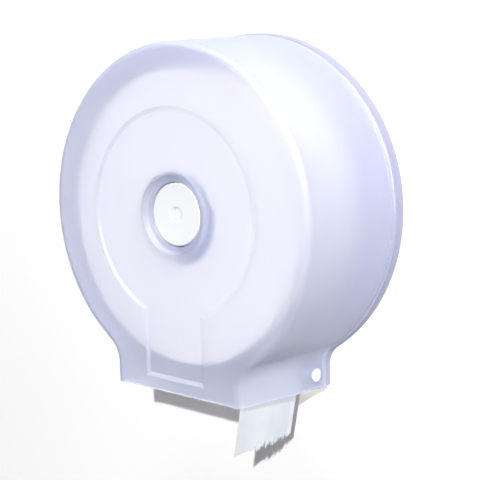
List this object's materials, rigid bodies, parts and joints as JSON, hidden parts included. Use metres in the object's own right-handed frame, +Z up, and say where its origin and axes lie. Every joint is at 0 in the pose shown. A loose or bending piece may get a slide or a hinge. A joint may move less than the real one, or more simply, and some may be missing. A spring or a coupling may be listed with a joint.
{
  "type": "jumbo toilet roll dispenser",
  "caption": "Wall-hung round dispenser for a jumbo toilet roll: translucent hinged cover with a toothed throat, centre key lock, and a roll with its loose end hanging out.",
  "frame": {"origin": "on the spindle's axis, in the plane of the wall that the back plate is screwed to", "axes": "+Y points into the wall, so the front faces -Y; +Z is up; +X is to the right seen from the front"},
  "size_m": [0.302, 0.1195, 0.3541],
  "materials": {
    "cover_frost": "frosted translucent moulding, light polish outside",
    "plate_frost": "frosted translucent moulding",
    "hub_plastic": "moulded satin",
    "white_plastic": "glossy moulding",
    "plated_steel": "zinc plated",
    "cardboard": "wound grey-brown board",
    "tissue": "soft two-ply tissue"
  },
  "bodies": {
    "base": {"back_plate": "plate_frost", "spindle_hub": "hub_plastic", "hub_screws": "plated_steel", "hub_washers": "plated_steel", "spindle_cap": "white_plastic", "cap_screws": "plated_steel", "barrel_washer": "plated_steel", "bolt_keeper": "white_plastic", "keeper_screws": "plated_steel", "hinge_pin_left": "white_plastic", "hinge_pin_right": "white_plastic", "hinge_clips": "plated_steel", "hinge_washers": "white_plastic", "paper_tail": "tissue"},
    "cover": {"front_cover": "cover_frost"},
    "adaptor": {"core_adaptor": "hub_plastic"},
    "roll": {"roll_core": "cardboard", "roll_paper": "tissue"},
    "barrel": {"lock_barrel": "white_plastic"},
    "bolt": {"lock_bolt": "white_plastic"}
  },
  "joints": [
    {"name": "cover_hinge", "type": "hinge", "parent": "base", "child": "cover", "pos_m": [0, -0.0224, -0.1462], "axis": [1, 0, 0], "range_deg": [0, 96], "deforming": ["paper_tail"]},
    {"name": "roll_spin", "type": "hinge", "parent": "base", "child": "roll", "pos_m": [0, -0.0675, -0.0038], "axis": [0, 1, 0], "continuous": true},
    {"name": "adaptor_spin", "type": "hinge", "parent": "base", "child": "adaptor", "pos_m": [0, -0.0525, 0], "axis": [0, 1, 0], "continuous": true},
    {"name": "lock_turn", "type": "hinge", "parent": "base", "child": "barrel", "pos_m": [0, -0.11, 0], "axis": [0, -1, 0], "range_deg": [0, 90]},
    {"name": "bolt_slide", "type": "slide", "parent": "base", "child": "bolt", "axis": [0, 0, 1], "range_m": [0, 0.005]}
  ],
  "couplings": [
    {"joint": "adaptor_spin", "follows": "roll_spin", "ratio": 1.1182},
    {"joint": "lock_turn", "follows": "bolt_slide", "rad_per_m": 314.16}
  ]
}
